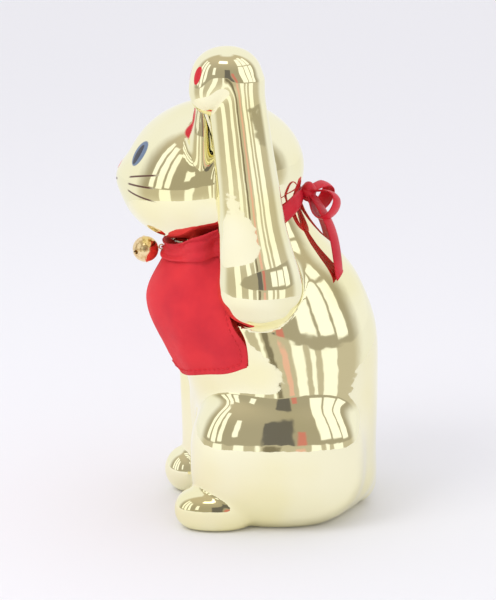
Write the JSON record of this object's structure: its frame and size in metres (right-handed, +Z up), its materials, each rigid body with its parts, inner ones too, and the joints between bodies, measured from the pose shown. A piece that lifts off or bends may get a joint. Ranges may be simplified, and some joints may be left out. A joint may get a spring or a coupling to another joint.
{
  "type": "beckoning cat figurine",
  "caption": "Gilt ceramic cat sitting up with its left paw raised, with a red cloth bib, a ribbon bow behind the neck and a small jingle bell.",
  "frame": {"origin": "on the rest plane under the middle of the figure's width, at the centre of the drain hole", "axes": "+Z up, the cat faces -Y, and its left side, with the raised arm, is +X"},
  "size_m": [0.1108, 0.1197, 0.22],
  "materials": {
    "gilt_glaze": "mirror-bright pale gold lustre over glazed ceramic, painted eyes, nose, whiskers, ears and claw marks",
    "red_cloth": "plain woven red cloth with turned edges",
    "red_satin": "smooth red satin ribbon with woven edges",
    "red_thread": "twisted sewing thread",
    "bell_wire": "bright brass wire",
    "bell_brass": "bright pressed brass",
    "pellet_steel": "plain steel ball"
  },
  "bodies": {
    "cat": {"body_casting": "gilt_glaze", "raised_arm": "gilt_glaze", "bib_panel": "red_cloth", "bib_neckband": "red_cloth", "neck_ribbon": "red_satin", "bow_knot": "red_satin", "bow_loop_left": "red_satin", "bow_loop_right": "red_satin", "ribbon_tail_left": "red_satin", "ribbon_tail_right": "red_satin", "bell_thread": "red_thread"},
    "bail": {"bell_loop": "bell_wire"},
    "bell": {"bell_back_shell": "bell_brass", "bell_front_shell": "bell_brass"},
    "pellet": {"bell_pellet": "pellet_steel"}
  },
  "joints": [
    {"name": "bell_swing", "type": "hinge", "parent": "cat", "child": "bail", "pos_m": [0, -0.03971, 0.12285], "axis": [-1, 0, 0], "range_deg": [-20, 25]},
    {"name": "bell_twist", "type": "hinge", "parent": "bail", "child": "bell", "pos_m": [0, -0.0471, 0.12181], "axis": [0, 0.9903, 0.1392], "range_deg": [-60, 60]},
    {"name": "pellet_rattle", "type": "slide", "parent": "bell", "child": "pellet", "axis": [0, 0, 1], "range_m": [0, 0.0076]}
  ]
}
